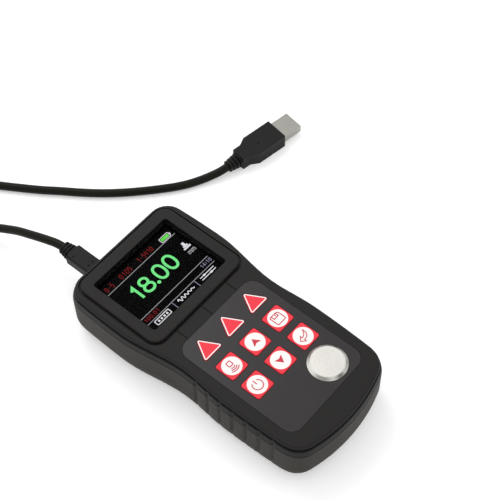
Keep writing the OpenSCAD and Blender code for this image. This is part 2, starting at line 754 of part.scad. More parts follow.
module socket_nuts() {
    color([0.7, 0.69, 0.66]) for (x = probe_xs) translate([x, nut_y - nut_t, probe_z]) difference() {
        rod_y(probe_flange - 0.8, nut_t);
        translate([0, -1, 0]) rod_y(probe_hole, nut_t + 2);
    }
}

// Cells: the left one points its button at the screen end, the right one at the tail
button_d = 5.2;
button_l = 1.4;
module cell() {
    rotate([-90, 0, 0]) rotate_extrude() polygon([[0, 0], [cell_d / 2 - 0.6, 0], [cell_d / 2, 0.6],
        [cell_d / 2, cell_l - button_l - 0.6], [cell_d / 2 - 0.6, cell_l - button_l],
        [button_d / 2, cell_l - button_l], [button_d / 2, cell_l], [0, cell_l]]);
}
cell_top = bay_y1 - contact_t - cell_gap;
cell_foot = bay_y0 + contact_t + cell_gap;
module battery_cell_left() {
    color([0.2, 0.45, 0.3]) translate([-cell_x, cell_top - cell_l, cell_z]) cell();
}
module battery_cell_right() {
    color([0.2, 0.45, 0.3]) translate([cell_x, cell_foot + cell_l, cell_z]) rotate(180) cell();
}
plate_s = 11;
module battery_contacts() {
    color([0.8, 0.78, 0.72]) for (x = [-cell_x, cell_x]) for (y = [bay_y0, bay_y1 - contact_t])
        translate([x - plate_s / 2, y, cell_z - plate_s / 2]) cube([plate_s, contact_t, plate_s]);
}
// Conical contact spring as a wire swept along a helix
wire_d = 0.7;
spring_r = 4.6;
spring_draw = 2;
turns = 3;
spring_n = 36;
function spring_at(i) = let(t = i / spring_n, a = 360 * turns * t, r = spring_r - spring_draw * t)
    [r * cos(a), wire_d / 2 + (spring_l - wire_d) * t, r * sin(a)];
module contact_spring() { sweep([for (i = [0:spring_n]) spring_at(i)], wire_d, 6, [0, 1, 0]); }
module battery_springs() {
    color([0.8, 0.8, 0.78]) {
        translate([-cell_x, bay_y0 + contact_t, cell_z]) contact_spring();
        translate([cell_x, bay_y1 - contact_t, cell_z]) rotate(180) contact_spring();
    }
}

// A round section of n sides swept along points; each ring stands square to the path and is lined up by
// a direction that the path never takes
function unit(v) = v / norm(v);
module sweep(path, d, n, aside) {
    m = len(path);
    loft([for (i = [0:m - 1])
        let(t = unit(path[min(i + 1, m - 1)] - path[max(i - 1, 0)]),
            u = unit(cross(aside, t)),
            v = cross(t, u))
        [for (k = [0:n - 1]) path[i] + d / 2 * (cos(360 * k / n) * u + sin(360 * k / n) * v)]], true);
}

// Data cable: moulded plug in the gauge, free run to the coil, and the run to the far plug
mini_w = 6.8;
mini_h = 3;
mini_body = [9.8, 15.6, 6.8];
mini_gap = 0.4;
relief_l = 6.5;
mini_y = end_y + mini_gap;
cord_start = [usb_x, mini_y + mini_body.y + relief_l, usb_z];
cord_z = cord_d / 2;
// Strain relief along +Y: four flat ribs on a core, drawn in from size a to size b
relief_cut = 0.5;
relief_round = 0.42;
module relief(a, b, l) {
    ribs = 4;
    pitch = l / (2 * ribs - 1);
    module section(size, from, to) {
        translate([0, from, 0]) rotate([-90, 0, 0]) linear_extrude(to - from)
            round_rect(size.x, size.y, relief_round * size.y);
    }
    for (i = [0:ribs - 1]) section(a + (b - a) * i / (ribs - 1), 2 * pitch * i, 2 * pitch * i + pitch);
    section(b - 2 * [relief_cut, relief_cut], 0, l);
}
// Mould mark on a plug's upper face
mark_d = 0.9;
module mark(place) { translate(place) cylinder(d = mark_d, h = 2 * mark_d, center = true); }
module mini_plug() {
    b = mini_body;
    mark_depth = 0.3;
    color([0.13, 0.13, 0.13]) translate([usb_x, mini_y, usb_z]) difference() {
        union() {
            rotate([-90, 0, 0]) linear_extrude(b.y) round_rect(b.x, b.z, 1.2);
            translate([0, b.y, 0]) relief([b.x - 0.8, b.z - 0.4], [cord_d + 2.4, cord_d + 1], relief_l);
        }
        // Two marks by the gauge and one by the relief
        for (p = [[-1.5, 3], [1.5, 3], [-2.4, 12.6]]) mark([p.x, p.y, b.z / 2 - mark_depth + mark_d]);
    }
}
module mini_plug_shell() {
    inside = 6.5;
    color([0.78, 0.78, 0.78]) translate([usb_x - mini_w / 2, usb_mouth - inside, usb_z - mini_h / 2])
        cube([mini_w, mini_y - usb_mouth + inside, mini_h]);
}
coil_c = [-42, 184];
turn_gap = 0.1;
coil_turn = cord_d + turn_gap;
// Where the cable joins the coil's outer turn at the floor, and where it leaves its upper layer
function coil_place(a, z) = let(r = coil_r + coil_turn) [coil_c.x + r * cos(a), coil_c.y + r * sin(a), z];
enter_a = 236.6;
exit_a = 34;
gauge_route = concat([cord_start],
    [[-15.3, 102, 21.5], [-16.5, 107.5, 20.9], [-17.6, 113, 19.7], [-18.7, 119, 18], [-19.8, 126, 15.6],
    [-21.3, 133, 12.7], [-23.6, 140, 9.9], [-28.5, 146.5, 7.4], [-37, 151.5, 5], [-47.5, 155.4, 3]],
    [coil_place(enter_a, cord_z)]);
far_c = [95, 75.2];
far_a = -9.3;
far_body = [28, 14, 8.8];
far_z = far_body.z / 2;
far_relief = 7.5;
function far_place(along) = [far_c.x + along * cos(far_a), far_c.y + along * sin(far_a), far_z];
plug_floor = [[-3.5, 171], [0.8, 163.5], [6.2, 154.7], [12.4, 145], [18.8, 136], [25.2, 126.7], [32, 117.8],
    [39.2, 109.7], [47, 102], [55, 94.8], [63, 88.4], [70.3, 84]];
plug_route = concat([coil_place(exit_a, cord_z + coil_turn), [-14.2, 189.5, 5.4], [-9, 180, 3.2]],
    [for (p = plug_floor) [p.x, p.y, cord_z]],
    [[77.3, 80.4, 2.9], [82.5, 77.9, 3.8], far_place(-far_relief)]);
module cable_gauge_run() { color([0.12, 0.12, 0.11]) sweep(gauge_route, cord_d, 10, [0, 0, 1]); }
module cable_plug_run() { color([0.12, 0.12, 0.11]) sweep(plug_route, cord_d, 10, [0, 0, 1]); }
module cable_coil() {
    w = 3 * coil_turn;
    h = 2 * coil_turn;
    color([0.12, 0.12, 0.11]) translate([coil_c.x, coil_c.y, 0]) rotate_extrude()
        translate([coil_r, h / 2]) round_rect(w, h, cord_d / 2);
}
module cable_tie() {
    // A band round the coil's bundle
    t = 0.8;
    band = 4;
    w = 3 * coil_turn + 2 * fit_gap;
    h = 2 * coil_turn;
    color([0.08, 0.08, 0.08]) translate([coil_c.x - band / 2, coil_c.y + coil_r, 0]) rotate([90, 0, 90])
        linear_extrude(band) difference() {
            translate([0, h / 2 + t / 2]) square([w + 2 * t, h + t], center = true);
            translate([0, h / 2 - t / 2]) square([w, h + t + fit_gap], center = true);
        }
}
// Overmould of the far plug: a straight neck at the cable, then a flare to the full width
neck_w = 8.7;
neck_l = 5;
flare_l = 4.6;
module data_plug() {
    b = far_body;
    side = [[neck_w / 2, 0], [neck_w / 2, neck_l], [b.y / 2, neck_l + flare_l], [b.y / 2, b.x]];
    color([0.13, 0.13, 0.13]) translate([far_c.x, far_c.y, far_z]) rotate(far_a - 90) difference() {
        union() {
            translate([0, 0, -b.z / 2]) linear_extrude(b.z)
                polygon(concat(side, [for (i = [len(side) - 1:-1:0]) [-side[i].x, side[i].y]]));
            rotate(180) relief([neck_w - 0.6, b.z - 1], [cord_d + 1.8, cord_d + 1.4], far_relief);
        }
        mark([1.4, 13.2, b.z / 2 + mark_d / 2]);
    }
}
far_shell = [12, 12.5, 4.5];
shell_t = 0.4;
module data_plug_shell() {
    s = far_shell;
    color([0.8, 0.8, 0.8]) translate([far_c.x, far_c.y, far_z]) rotate(far_a - 90)
        translate([0, far_body.x, 0])
        rotate([-90, 0, 0]) linear_extrude(s.y) difference() {
            square([s.x, s.z], center = true);
            square([s.x - 2 * shell_t, s.z - 2 * shell_t], center = true);
            }
}
module data_plug_tongue() {
    s = far_shell;
    color([0.9, 0.9, 0.9]) translate([far_c.x, far_c.y, far_z]) rotate(far_a - 90)
        translate([0.2 + shell_t - s.x / 2, far_body.x, shell_t - s.z / 2])
            cube([s.x - 2 * shell_t - 0.4, s.y - 0.8, 1.8]);
}

front_case();
rear_case();
battery_cover();
case_screws();
display_lens();
display_gasket();
display_panel();
display_holder();
keypad_label();
soft_key_left();
soft_key_middle();
soft_key_right();
probe_key();
up_key();
save_key();
power_key();
down_key();
enter_key();
keypad_board();
snap_domes();
keypad_header();
test_disc();
main_board();
board_chips();
board_screws();
data_socket();
probe_socket_left();
probe_socket_right();
socket_insulators();
socket_contacts();
socket_nuts();
battery_cell_left();
battery_cell_right();
battery_contacts();
battery_springs();
mini_plug();
mini_plug_shell();
cable_gauge_run();
cable_coil();
cable_tie();
cable_plug_run();
data_plug();
data_plug_shell();
data_plug_tongue();
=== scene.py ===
"""Handheld ultrasonic thickness gauge with its data cable: finishes of the solids, prints on the keys,
picture on the screen, cable, table, light and camera."""
import bpy
import numpy as np
from mathutils import Matrix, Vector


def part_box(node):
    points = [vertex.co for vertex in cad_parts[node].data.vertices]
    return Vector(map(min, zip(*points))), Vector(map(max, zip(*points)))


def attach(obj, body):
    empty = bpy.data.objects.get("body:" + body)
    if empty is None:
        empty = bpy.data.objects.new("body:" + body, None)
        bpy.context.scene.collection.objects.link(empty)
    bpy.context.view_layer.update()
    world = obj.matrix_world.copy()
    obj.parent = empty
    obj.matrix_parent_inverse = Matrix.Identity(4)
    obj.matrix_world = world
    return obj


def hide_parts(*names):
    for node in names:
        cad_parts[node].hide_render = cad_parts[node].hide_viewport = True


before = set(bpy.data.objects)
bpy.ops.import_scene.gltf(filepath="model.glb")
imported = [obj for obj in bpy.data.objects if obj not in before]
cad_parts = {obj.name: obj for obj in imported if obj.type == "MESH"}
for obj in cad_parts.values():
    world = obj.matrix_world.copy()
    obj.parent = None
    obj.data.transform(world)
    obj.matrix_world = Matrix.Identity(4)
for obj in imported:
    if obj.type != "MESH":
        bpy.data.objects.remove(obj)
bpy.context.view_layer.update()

MM = 0.001

# Viewpoint of the photograph: place in mm, right, up and back axes, lens and sensor in mm, and the nearest
# point that it sees in metres
CAMERA_PLACE = (-248.697, -224.184, 575.158)
CAMERA_AXES = (
    (0.64068, -0.76779, -0.00569),
    (0.63308, 0.52405, 0.56972),
    (-0.43444, -0.36861, 0.82182),
)
CAMERA_LENS = 96.144
CAMERA_SENSOR = 36.0
CAMERA_NEAR = 0.01

# Even white studio light, as it lights and as it is seen, and a soft round lamp over the screen end: its
# place and width in metres, and its power in watts
WHITE = (1, 1, 1, 1)
SKY_LEVEL, SKY_SEEN = 0.86, 1.0
LAMP_PLACE = (0.2, 0.68, 0.95)
LAMP_SIZE = 0.7
LAMP_POWER = 3.2

# Pale floor: half its width in metres, its grey, and its lift towards white where it is seen
TABLE_REACH = 3.0
TABLE_GREY = (0.93, 0.93, 0.93, 1)
TABLE_LIFT = 0.3


def srgb(r, g, b):
    """Linear colour with alpha from 0 to 255 screen values: the usual two-part display curve."""
    v = np.array([r, g, b]) / 255
    return (*np.where(v <= 0.04045, v / 12.92, ((v + 0.055) / 1.055) ** 2.4), 1.0)


# Colours of the case, the keypad and the cable
CASE_FRONT = srgb(26, 24, 23)
CASE_REAR = srgb(42, 37, 32)
LABEL_GREY = srgb(42, 39, 40)
KEY_RED = srgb(243, 52, 68)
PRINT_WHITE = srgb(250, 248, 246)
PRINT_DARK_RED = srgb(208, 36, 64)
CABLE_BLACK = srgb(23, 23, 17)
PLUG_BLACK = srgb(16, 15, 15)
TONGUE_WHITE = srgb(236, 236, 232)

# Colours of the metals and of the pieces inside
STEEL = srgb(208, 206, 200)
SHELL_STEEL = srgb(158, 156, 150)
SPRING_STEEL = srgb(214, 210, 198)
NICKEL = srgb(205, 200, 190)
GOLD = srgb(226, 184, 92)
GASKET_BLACK = srgb(16, 16, 17)
PART_BLACK = srgb(24, 24, 25)
HOLDER_WHITE = srgb(222, 221, 216)
INSULATOR_WHITE = srgb(232, 231, 226)
BOARD_GREEN = srgb(18, 92, 56)
CELL_GREEN = srgb(36, 116, 78)

# Colours of the screen
LENS_TINT = (0, 0, 0, 1)
SCREEN_BLACK = srgb(4, 4, 5)
SCREEN_GREEN = srgb(124, 250, 146)
SCREEN_RED = srgb(136, 14, 20)
SCREEN_WHITE = srgb(236, 236, 242)
SCREEN_LINE = srgb(168, 168, 172)
SCREEN_GREY = srgb(140, 142, 165)
CHARGE_GREEN = srgb(104, 236, 84)


# Shapes: every function works in mm, and a shape is its vertices and its faces

# A length too small to show, which keeps a division by nothing away, and the least cosine of half a turn
# that a mitre follows
TINY = 1e-12
MITRE_LEAST = 0.4


def skin(points, wrap_rows=False):
    """Faces over a grid points[row, place]: each row is a closed ring, and neighbours are joined by quads.
    The rows are joined round to the first one if wrap_rows; otherwise flat caps close the two ends."""
    rows, count = points.shape[:2]
    here = np.arange(rows * count).reshape(rows, count)
    beside = np.roll(here, -1, axis=1)
    above, beside_above = np.roll(here, -1, axis=0), np.roll(beside, -1, axis=0)
    quads = np.stack([here, beside, beside_above, above], axis=-1)
    if wrap_rows:
        return points.reshape(-1, 3), quads.reshape(-1, 4).tolist()
    caps = [here[0, ::-1].tolist(), here[-1].tolist()]
    return points.reshape(-1, 3), quads[:-1].reshape(-1, 4).tolist() + caps


def prism(outline, low, high):
    """A flat outline, anticlockwise, carried straight up from height low to height high."""
    outline = np.asarray(outline, float)
    rows = [np.column_stack([outline, np.full(len(outline), z)]) for z in (low, high)]
    return skin(np.stack(rows))


def band(path, width, low, high, closed=False):
    """A rectangle carried along a flat path. At each point it stands across the mean direction of its two
    neighbouring stretches, widened by one over the cosine of half the turn, so corners are mitred."""
    path = np.asarray(path, float)
    ahead = np.roll(path, -1, axis=0) - path
    ahead /= np.linalg.norm(ahead, axis=1, keepdims=True) + TINY
    if not closed:
        ahead[-1] = ahead[-2]
    behind = np.roll(ahead, 1, axis=0)
    if not closed:
        behind[0] = ahead[0]
    mean = ahead + behind
    mean /= np.linalg.norm(mean, axis=1, keepdims=True) + TINY
    stretch = 1 / np.maximum(MITRE_LEAST, np.sum(mean * ahead, axis=1))
    side = np.column_stack([-mean[:, 1], mean[:, 0]]) * (stretch * width / 2)[:, None]
    corners = [(-1, low), (1, low), (1, high), (-1, high)]
    ring = [np.column_stack([path + s * side, np.full(len(path), z)]) for s, z in corners]
    return skin(np.stack(ring, axis=1), wrap_rows=closed)


def arc(centre, radii, first, last, count=24, power=2.0):
    """Points of an ellipse, or of a squarer curve for a power over 2, between two angles in degrees: each
    half size times the cosine or sine, taken to the power 2 over power with its sign kept."""
    a = np.radians(np.linspace(first, last, count))
    c, s = np.cos(a), np.sin(a)
    x = np.sign(c) * np.abs(c) ** (2 / power)
    y = np.sign(s) * np.abs(s) ** (2 / power)
    return np.column_stack([centre[0] + radii[0] * x, centre[1] + radii[1] * y])


def loop(centre, radii, count=48, power=2.0):
    """A closed arc: the full turn without its repeated last point."""
    return arc(centre, radii, 0, 360, count + 1, power)[:-1]


def curve(start, control, end, count=12):
    """Quadratic curve from start to end, drawn towards control: the three points weighted by the squares
    and the double product of the shares before and after. Rows of points give as many curves."""
    t = np.linspace(0, 1, count)[:, None]
    start, control, end = (np.asarray(p, float)[..., None, :] for p in (start, control, end))
    return (1 - t) ** 2 * start + 2 * t * (1 - t) * control + t ** 2 * end


def rounded(corners, radius, count=6):
    """A closed outline with a quadratic curve at each corner: its middle control point is the corner, and
    its ends lie radius away along the two sides."""
    corners = np.asarray(corners, float)
    before, after = np.roll(corners, 1, axis=0) - corners, np.roll(corners, -1, axis=0) - corners
    before *= radius / np.linalg.norm(before, axis=1, keepdims=True)
    after *= radius / np.linalg.norm(after, axis=1, keepdims=True)
    return curve(corners + before, corners, corners + after, count).reshape(-1, 2)


def box_outline(x0, y0, x1, y1):
    """The four corners of an upright box, anticlockwise from its lower left."""
    return [(x0, y0), (x1, y0), (x1, y1), (x0, y1)]


def moved(shape, x, y):
    """A shape shifted along the face."""
    points, faces = shape
    return points + np.array([x, y, 0.0]), faces


def piece(name, shapes, material, body):
    """One object of several shapes, with its place in its mesh, riding on a body of the frame."""
    points, faces, start = [], [], 0
    for shape_points, shape_faces in shapes:
        points.append(shape_points)
        faces += [(np.array(face) + start).tolist() for face in shape_faces]
        start += len(shape_points)
    mesh = bpy.data.meshes.new(name)
    mesh.from_pydata(np.concatenate(points) * MM, [], faces)
    mesh.materials.append(material)
    obj = bpy.data.objects.new(name, mesh)
    bpy.context.scene.collection.objects.link(obj)
    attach(obj, body)
    return obj


# Shader nodes

COLOUR, VALUE = "NodeSocketColor", "NodeSocketFloat"


def new_group(name, inputs, outputs):
    """An empty shader group with named sockets; gives the group and its input and output nodes."""
    group = bpy.data.node_groups.new(name, "ShaderNodeTree")
    for label, kind, value in inputs:
        socket = group.interface.new_socket(label, in_out="INPUT", socket_type=kind)
        socket.default_value = value
    for label, kind in outputs:
        group.interface.new_socket(label, in_out="OUTPUT", socket_type=kind)
    return group, group.nodes.new("NodeGroupInput"), group.nodes.new("NodeGroupOutput")


def add(tree, kind, **values):
    """A node with its properties and input values set by name; an underscore stands for a space."""
    node = tree.nodes.new(kind)
    for key, value in values.items():
        label = key.replace("_", " ")
        if label in node.inputs:
            node.inputs[label].default_value = value
        else:
            setattr(node, key, value)
    return node


def arithmetic(tree, operation, *operands, **settings):
    """Result of a math node whose operands are other nodes' outputs or plain numbers."""
    node = add(tree, "ShaderNodeMath", operation=operation, **settings)
    for socket, operand in zip(node.inputs, operands):
        if isinstance(operand, bpy.types.NodeSocket):
            tree.links.new(operand, socket)
        else:
            socket.default_value = operand
    return node.outputs[0]


def ranged(tree, value, span, result):
    """A value carried evenly from one span to another, and held at the two ends."""
    node = add(tree, "ShaderNodeMapRange", From_Min=span[0], From_Max=span[1],
               To_Min=result[0], To_Max=result[1])
    tree.links.new(value, node.inputs["Value"])
    return node.outputs[0]


def brightened(tree, color, factor):
    """A colour times a factor."""
    node = add(tree, "ShaderNodeVectorMath", operation="SCALE")
    tree.links.new(color, node.inputs[0])
    tree.links.new(factor, node.inputs["Scale"])
    return node.outputs[0]


# Size of the broad noise of a grain over the fine one's
BROAD_GRAIN = 40


def surface_grain_group():
    """Grain of a moulded, printed or drawn surface. Two noises, one at the grain's size and one many times
    larger, shift the colour's brightness and the roughness about their means. The finer one is the
    height."""
    group, source, sink = new_group(
        "surface_grain",
        [("Color", COLOUR, (0.5, 0.5, 0.5, 1)), ("Grain Size", VALUE, 0.0004), ("Tone", VALUE, 0.1),
         ("Roughness", VALUE, 0.5), ("Spread", VALUE, 0.1)],
        [("Color", COLOUR), ("Roughness", VALUE), ("Height", VALUE)])
    link = group.links.new
    place = add(group, "ShaderNodeTexCoord")
    scale = arithmetic(group, "DIVIDE", 1, source.outputs["Grain Size"])
    broad_scale = arithmetic(group, "DIVIDE", scale, BROAD_GRAIN)
    fine = add(group, "ShaderNodeTexNoise", Detail=2.0, Roughness=0.55)
    broad = add(group, "ShaderNodeTexNoise", Detail=3.0, Roughness=0.6)
    for noise, noise_scale in ((fine, scale), (broad, broad_scale)):
        link(place.outputs["Object"], noise.inputs["Vector"])
        link(noise_scale, noise.inputs["Scale"])
    both = arithmetic(group, "ADD", fine.outputs["Fac"], broad.outputs["Fac"])
    centred = arithmetic(group, "SUBTRACT", both, 1)
    tone = arithmetic(group, "MULTIPLY_ADD", centred, source.outputs["Tone"], 1)
    rough = arithmetic(group, "MULTIPLY_ADD", centred, source.outputs["Spread"],
                       source.outputs["Roughness"], use_clamp=True)
    link(brightened(group, source.outputs["Color"], tone), sink.inputs["Color"])
    link(rough, sink.inputs["Roughness"])
    link(fine.outputs["Fac"], sink.inputs["Height"])
    return group


SURFACE_GRAIN = surface_grain_group()


# Finishes

def finish(name, color, roughness=0.5, grain=0.4, tone=0.12, spread=0.12, depth=0.01, edge=0.0, **shader):
    """A grained finish: colour, roughness and bump from the grain group, with edges softened over a radius
    of edge mm where it isn't 0. Sizes are in mm; shader holds plain values for the shader's own sockets."""
    material = bpy.data.materials.new(name)
    material.use_nodes = True
    tree = material.node_tree
    link = tree.links.new
    bsdf = tree.nodes["Principled BSDF"]
    for key, value in shader.items():
        bsdf.inputs[key.replace("_", " ")].default_value = value
    grained = add(tree, "ShaderNodeGroup", name="grain", node_tree=SURFACE_GRAIN)
    values = {"Color": color, "Grain Size": grain * MM, "Tone": tone, "Roughness": roughness,
              "Spread": spread}
    for label, value in values.items():
        grained.inputs[label].default_value = value
    bump = add(tree, "ShaderNodeBump", name="bump", Strength=1.0, Distance=depth * MM)
    link(grained.outputs["Color"], bsdf.inputs["Base Color"])
    link(grained.outputs["Roughness"], bsdf.inputs["Roughness"])
    link(grained.outputs["Height"], bump.inputs["Height"])
    if edge:
        bevel = add(tree, "ShaderNodeBevel", samples=6, Radius=edge * MM)
        link(bevel.outputs[0], bump.inputs["Normal"])
    link(bump.outputs[0], bsdf.inputs["Normal"])
    return material


def shade(material, tone):
    """Multiplies a finish's grained colour by a tone that varies over the surface."""
    tree = material.node_tree
    shaded = brightened(tree, tree.nodes["grain"].outputs["Color"], tone)
    tree.links.new(shaded, tree.nodes["Principled BSDF"].inputs["Base Color"])


# Size of the screen's dots in mm, and how far their brightness differs
PIXEL = 0.15
PIXEL_TONE = 0.25


def glow(name, color):
    """A lit picture element: black surface with its own light, mottled a little as pixels are."""
    material = finish(name, SCREEN_BLACK, roughness=0.4, grain=PIXEL, tone=0.1, depth=0.001,
                      Emission_Strength=1.0, Specular_IOR_Level=0.1)
    tree = material.node_tree
    pixels = add(tree, "ShaderNodeGroup", name="pixels", node_tree=SURFACE_GRAIN)
    pixels.inputs["Color"].default_value = color
    pixels.inputs["Grain Size"].default_value = PIXEL * MM
    pixels.inputs["Tone"].default_value = PIXEL_TONE
    tree.links.new(pixels.outputs["Color"], tree.nodes["Principled BSDF"].inputs["Emission Color"])
    return material


# Turning marks of the disc: their depth in mm, and the brightness of the darkest and the lightest
RING_DEPTH = 0.004
RING_TONES = (0.72, 1.26)
# Painted reflections on the disc's bevel, as dark and light streaks: how closely they follow each other,
# the part of the noise that they use, and what they add to the brightness
PAINTED_REFLECTION_SCALE = 1.1
PAINTED_REFLECTION_SPAN = (0.35, 0.65)
PAINTED_REFLECTION_TONES = (-0.7, 0.2)


def turned_steel(name, color, centre, face, ring, roughness):
    """Steel faced on a lathe: a noise of the distance from the disc's axis gives fine rings in height and
    brightness. Outside the flat face the bevel gets painted reflections: dark and light streaks from a
    noise of the direction from the axis. centre is the axis, face the flat face's radius and ring the
    rings' mean width, in mm."""
    material = finish(name, color, roughness=roughness, grain=0.5, tone=0.22, spread=0.1, Metallic=1.0)
    tree = material.node_tree
    link = tree.links.new
    place = add(tree, "ShaderNodeTexCoord")
    from_axis = add(tree, "ShaderNodeMapping", Scale=(1, 1, 0),
                    Location=(-centre[0] * MM, -centre[1] * MM, 0))
    distance = add(tree, "ShaderNodeVectorMath", operation="LENGTH")
    link(place.outputs["Object"], from_axis.inputs["Vector"])
    link(from_axis.outputs[0], distance.inputs[0])
    radius = distance.outputs["Value"]
    rings = add(tree, "ShaderNodeTexNoise", noise_dimensions="1D", Scale=1 / (ring * MM), Detail=3.0)
    bump = tree.nodes["bump"]
    bump.inputs["Distance"].default_value = RING_DEPTH * MM
    link(radius, rings.inputs["W"])
    link(rings.outputs["Fac"], bump.inputs["Height"])
    ring_tone = ranged(tree, rings.outputs["Fac"], (0, 1), RING_TONES)
    # Painted reflections: the bevel is darkened and lightened in streaks by a noise of the direction from
    # the axis
    direction = add(tree, "ShaderNodeVectorMath", operation="NORMALIZE")
    painted_reflections = add(tree, "ShaderNodeTexNoise", Scale=PAINTED_REFLECTION_SCALE, Detail=1.0, Roughness=0.4)
    link(from_axis.outputs[0], direction.inputs[0])
    link(direction.outputs[0], painted_reflections.inputs["Vector"])
    painted_reflection_tone = ranged(tree, painted_reflections.outputs["Fac"], PAINTED_REFLECTION_SPAN, PAINTED_REFLECTION_TONES)
    on_bevel = arithmetic(tree, "GREATER_THAN", radius, face * MM)
    shade(material, arithmetic(tree, "MULTIPLY_ADD", on_bevel, painted_reflection_tone, ring_tone))
    return material


# Painted shade of the groove where the two shells meet, as a dark line: its depth below the label's top,
# half its core and where it ends, in mm, and its brightness beside the shells'
PARTING_DEPTH = 6.8
SEAM_CORE, SEAM_END = 0.3, 0.6
SEAM_SHADE_TONE = 0.08


def painted_seam_shade(material, height):
    """Paints the shade of a level seam into a finish as a dark line: the tone rises evenly from the core of
    the line to its end, by the distance above or below height, in mm."""
    tree = material.node_tree
    place = add(tree, "ShaderNodeTexCoord")
    split = add(tree, "ShaderNodeSeparateXYZ")
    tree.links.new(place.outputs["Object"], split.inputs[0])
    offset = arithmetic(tree, "SUBTRACT", split.outputs["Z"], height * MM)
    away = arithmetic(tree, "ABSOLUTE", offset)
    shade(material, ranged(tree, away, (SEAM_CORE * MM, SEAM_END * MM), (SEAM_SHADE_TONE, 1.0)))


def clear_lens(name):
    """Hard clear plastic with a dark, faintly uneven anti-glare coat: mostly see-through, without gloss."""
    return finish(name, LENS_TINT, roughness=0.12, grain=6, tone=0.2, spread=0.06, depth=0.0005,
                  Alpha=0.08, Specular_IOR_Level=0.0)


# Finishes of the CAD pieces

TRIANGLE_KEYS = ["soft_key_left", "soft_key_middle", "soft_key_right"]
SQUARE_KEYS = ["probe_key", "up_key", "save_key", "power_key", "down_key", "enter_key"]
FINISHES = {
    "front_case": finish("case_front", CASE_FRONT, roughness=0.56, grain=0.35, depth=0.02, edge=0.35,
                         Specular_IOR_Level=0.22),
    "rear_case": finish("case_rear", CASE_REAR, roughness=0.6, grain=0.35, depth=0.02, edge=0.35,
                        Specular_IOR_Level=0.25),
    "case_screws": finish("screw_steel", NICKEL, roughness=0.32, grain=0.3, Metallic=1.0),
    "display_lens": clear_lens("lens_clear"),
    "display_gasket": finish("gasket_foam", GASKET_BLACK, roughness=0.9, grain=0.25, depth=0.04,
                             Specular_IOR_Level=0.2),
    "display_panel": finish("panel_black", SCREEN_BLACK, roughness=0.3, grain=0.2, Specular_IOR_Level=0.02),
    "display_holder": finish("holder_white", HOLDER_WHITE, roughness=0.6),
    "keypad_label": finish("label_film", LABEL_GREY, roughness=0.3, grain=0.22, tone=0.16, depth=0.006,
                           edge=0.2, Specular_IOR_Level=0.3),
    "keypad_board": finish("board_green", BOARD_GREEN, roughness=0.35, grain=1.2, tone=0.3),
    "snap_domes": finish("dome_steel", SPRING_STEEL, roughness=0.25, Metallic=1.0),
    "keypad_header": finish("part_black", PART_BLACK, roughness=0.5),
    "data_socket": finish("socket_steel", NICKEL, roughness=0.28, Metallic=1.0),
    "probe_socket_left": finish("socket_nickel", NICKEL, roughness=0.24, grain=0.3, edge=0.15,
                                Metallic=1.0),
    "socket_insulators": finish("insulator_white", INSULATOR_WHITE, roughness=0.45),
    "socket_contacts": finish("contact_gold", GOLD, roughness=0.22, Metallic=1.0),
    "battery_cell_left": finish("cell_jacket", CELL_GREEN, roughness=0.3, grain=2.0, tone=0.1),
    "mini_plug": finish("plug_black", PLUG_BLACK, roughness=0.5, grain=0.2, depth=0.012, edge=0.4,
                        Specular_IOR_Level=0.19),
    "mini_plug_shell": finish("plug_shell", SHELL_STEEL, roughness=0.3, grain=0.6, Metallic=1.0),
    "cable_tie": finish("tie_black", PART_BLACK, roughness=0.4),
    "data_plug_tongue": finish("tongue_white", TONGUE_WHITE, roughness=0.4),
}
key_film = finish("key_red", KEY_RED, roughness=0.45, grain=0.25, tone=0.06, depth=0.008, edge=0.2,
                  Specular_IOR_Level=0.3)
FINISHES.update({key: key_film for key in TRIANGLE_KEYS + SQUARE_KEYS})

# Width of the disc's bevel in mm
DISC_BEVEL = 1.5
disc_low, disc_high = (np.array(c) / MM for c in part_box("test_disc"))
disc_centre = (disc_low + disc_high) / 2
disc_face = (disc_high[0] - disc_low[0]) / 2 - DISC_BEVEL
FINISHES["test_disc"] = turned_steel("disc_steel", STEEL, disc_centre, disc_face, ring=0.35, roughness=0.36)

# Pieces that share another piece's finish
SAME_FINISH = {
    "battery_cover": "rear_case",
    "board_screws": "case_screws",
    "main_board": "keypad_board",
    "board_chips": "keypad_header",
    "battery_contacts": "snap_domes",
    "battery_springs": "snap_domes",
    "probe_socket_right": "probe_socket_left",
    "socket_nuts": "probe_socket_left",
    "battery_cell_right": "battery_cell_left",
    "data_plug": "mini_plug",
    "data_plug_shell": "mini_plug_shell",
}
FINISHES.update({node: FINISHES[other] for node, other in SAME_FINISH.items()})

parting_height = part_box("keypad_label")[1][2] / MM - PARTING_DEPTH
# Painted shade: a dark line along the parting line of the two shells
for shell in ("front_case", "rear_case"):
    painted_seam_shade(FINISHES[shell], parting_height)

# Points nearer than this in mm are one, and edges over this angle in degrees stay sharp
WELD_DISTANCE = 0.002
SHARP_ANGLE = 32


def dress(node, material):
    """Gives a CAD node its finish and even shading: equal points are welded, sharp edges stay sharp, and
    the other normals are weighted by face area so that flat faces stay flat."""
    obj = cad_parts[node]
    if not obj.material_slots:
        obj.data.materials.append(material)
    for slot in obj.material_slots:
        slot.link = "OBJECT"
        slot.material = material
    smooth = np.ones(len(obj.data.polygons), bool)
    obj.data.polygons.foreach_set("use_smooth", smooth)
    weld = obj.modifiers.new("weld", "WELD")
    weld.merge_threshold = WELD_DISTANCE * MM
    split = obj.modifiers.new("sharp_edges", "EDGE_SPLIT")
    split.split_angle = np.radians(SHARP_ANGLE)
    even = obj.modifiers.new("even_shading", "WEIGHTED_NORMAL")
    even.mode = "FACE_AREA"


for node, material in FINISHES.items():
    dress(node, material)


# Prints on the keys: each sign is drawn in mm about the middle of its key, between two heights

print_white = finish("print_white", PRINT_WHITE, roughness=0.5, grain=0.3, tone=0.03, depth=0.004)
print_dark = finish("print_dark_red", PRINT_DARK_RED, roughness=0.5, grain=0.3, tone=0.08, depth=0.004)
